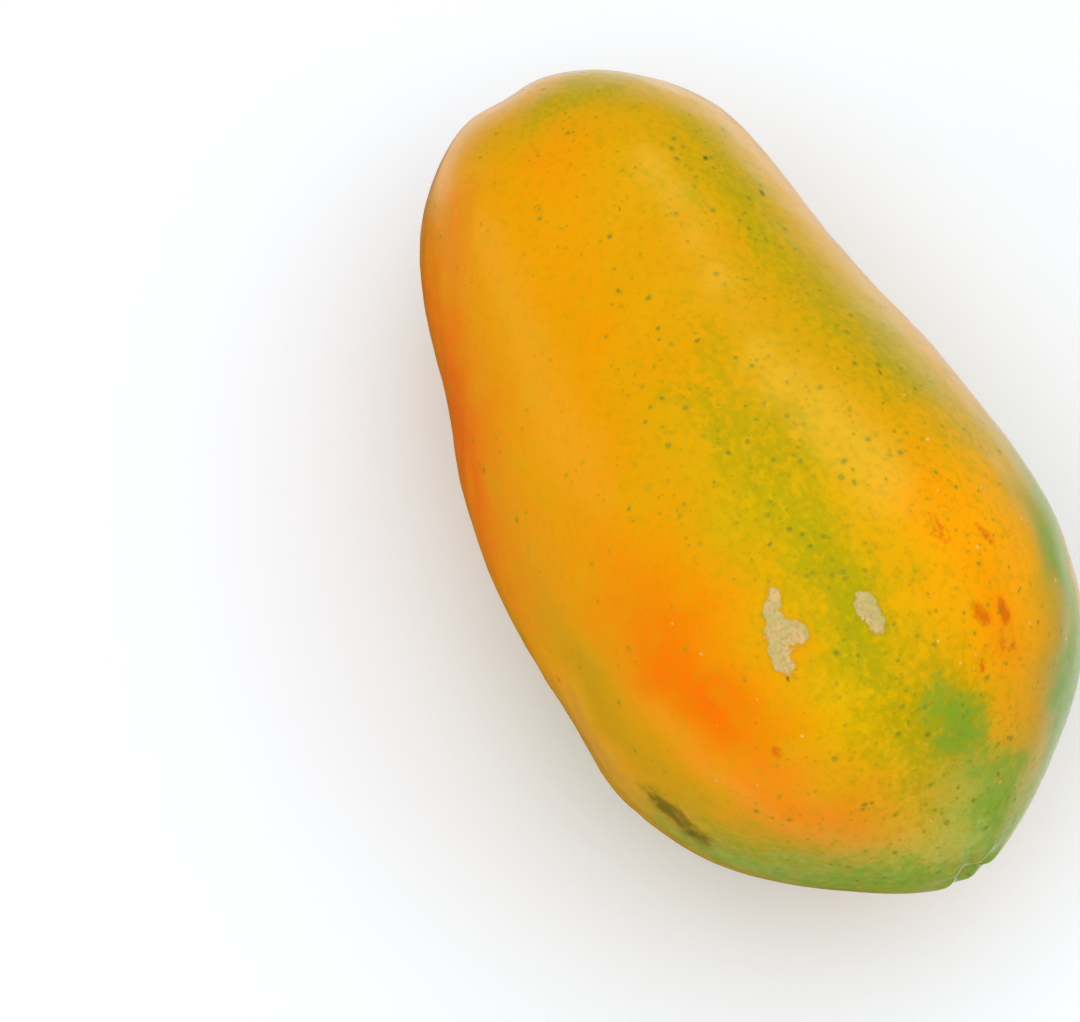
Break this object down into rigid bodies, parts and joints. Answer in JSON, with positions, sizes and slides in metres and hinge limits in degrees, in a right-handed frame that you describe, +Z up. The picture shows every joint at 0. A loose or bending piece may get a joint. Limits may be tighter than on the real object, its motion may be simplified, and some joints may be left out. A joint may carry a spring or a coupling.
{
  "type": "papaya",
  "caption": "Ripe yellow-orange papaya lying on its side, a long pear-shaped fruit with a narrow stalk end and a cut stalk stub.",
  "frame": {"origin": "centre of the fruit's length and width, on the surface that it lies on", "axes": "+X along the fruit from the stalk end to the blossom end, +Z up, +Y across"},
  "size_m": [0.1711, 0.0964, 0.0951],
  "materials": {
    "skin": "smooth waxy skin, ripe yellow-orange with green along one side and the blossom end, small dark lenticels and dried latex scars",
    "stalk": "dry cut stalk, green-brown bark round pale pith"
  },
  "bodies": {
    "root": {"fruit": "skin", "stalk_stub": "stalk"}
  },
  "joints": []
}
